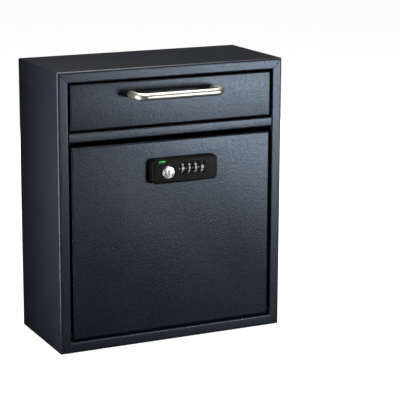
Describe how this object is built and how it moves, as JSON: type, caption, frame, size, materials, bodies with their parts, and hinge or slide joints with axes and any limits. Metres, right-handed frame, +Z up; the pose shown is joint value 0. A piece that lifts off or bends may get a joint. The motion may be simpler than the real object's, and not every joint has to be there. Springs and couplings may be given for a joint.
{
  "type": "parcel drop box",
  "caption": "Wall-mounted steel parcel drop box with a tilting hopper, a wire handle and a drop-down door held by a combination and key cam lock.",
  "frame": {"origin": "centre of the cabinet's base, midway between its front frame and its wall face", "axes": "+Z up, -Y towards the user (door side), +Y towards the wall, +X to the user's right"},
  "size_m": [0.264, 0.148, 0.305],
  "materials": {
    "black_coat": "fine-textured satin black powder coat",
    "zinc_plate": "bright zinc plate",
    "satin_nickel": "satin nickel",
    "bright_chrome": "polished",
    "lock_plastic": "fine moulded texture",
    "dial_plastic": "satin, with white figures",
    "nylon": "black nylon",
    "rubber": "matte",
    "green_enamel": "gloss",
    "red_enamel": "gloss"
  },
  "bodies": {
    "cabinet": {"cabinet_shell": "black_coat", "back_panel": "black_coat", "middle_rail": "black_coat", "hopper_pivot_pin_left": "black_coat", "hopper_pivot_pin_right": "black_coat", "door_pivot_pin_left": "black_coat", "door_pivot_pin_right": "black_coat", "hopper_washer_left": "nylon", "hopper_washer_right": "nylon", "door_washer_left": "nylon", "door_washer_right": "nylon", "door_stop_left": "black_coat", "door_stop_right": "black_coat", "door_bumper_left": "rubber", "door_bumper_right": "rubber", "hopper_rest_left": "black_coat", "hopper_rest_right": "black_coat", "hopper_pad_left": "rubber", "hopper_pad_right": "rubber"},
    "hopper": {"hopper_face": "black_coat", "hopper_tray": "black_coat", "hopper_cheek_left": "black_coat", "hopper_cheek_right": "black_coat", "handle": "satin_nickel", "handle_screw_left": "zinc_plate", "handle_screw_right": "zinc_plate"},
    "door": {"door_panel": "black_coat", "lock_housing": "lock_plastic", "lock_body": "zinc_plate", "lock_clamp_plate": "zinc_plate", "lock_screw_left": "zinc_plate", "lock_screw_right": "zinc_plate", "cylinder_sleeve": "bright_chrome", "dial_axle": "zinc_plate", "dial_detent_spring": "zinc_plate", "indicator_backing": "red_enamel"},
    "lock_rotor": {"key_plug": "bright_chrome", "indicator_flag": "green_enamel", "lock_cam": "zinc_plate", "cam_screw": "zinc_plate"},
    "dial_1": {"dial_1": "dial_plastic"},
    "dial_2": {"dial_2": "dial_plastic"},
    "dial_3": {"dial_3": "dial_plastic"},
    "dial_4": {"dial_4": "dial_plastic"}
  },
  "joints": [
    {"name": "hopper_tilt", "type": "hinge", "parent": "cabinet", "child": "hopper", "pos_m": [0, -0.0555, 0.2458], "axis": [1, 0, 0], "range_deg": [0, 60]},
    {"name": "door_drop", "type": "hinge", "parent": "cabinet", "child": "door", "pos_m": [0, -0.055, 0.0187], "axis": [1, 0, 0], "range_deg": [0, 90]},
    {"name": "lock_turn", "type": "hinge", "parent": "door", "child": "lock_rotor", "pos_m": [-0.0104, -0.059, 0.1913], "axis": [0, -1, 0], "range_deg": [0, 90]},
    {"name": "dial_1_spin", "type": "hinge", "parent": "door", "child": "dial_1", "pos_m": [0.0068, -0.0633, 0.194], "axis": [1, 0, 0], "continuous": true},
    {"name": "dial_2_spin", "type": "hinge", "parent": "door", "child": "dial_2", "pos_m": [0.0145, -0.0633, 0.194], "axis": [1, 0, 0], "continuous": true},
    {"name": "dial_3_spin", "type": "hinge", "parent": "door", "child": "dial_3", "pos_m": [0.0222, -0.0633, 0.194], "axis": [1, 0, 0], "continuous": true},
    {"name": "dial_4_spin", "type": "hinge", "parent": "door", "child": "dial_4", "pos_m": [0.0299, -0.0633, 0.194], "axis": [1, 0, 0], "continuous": true}
  ]
}
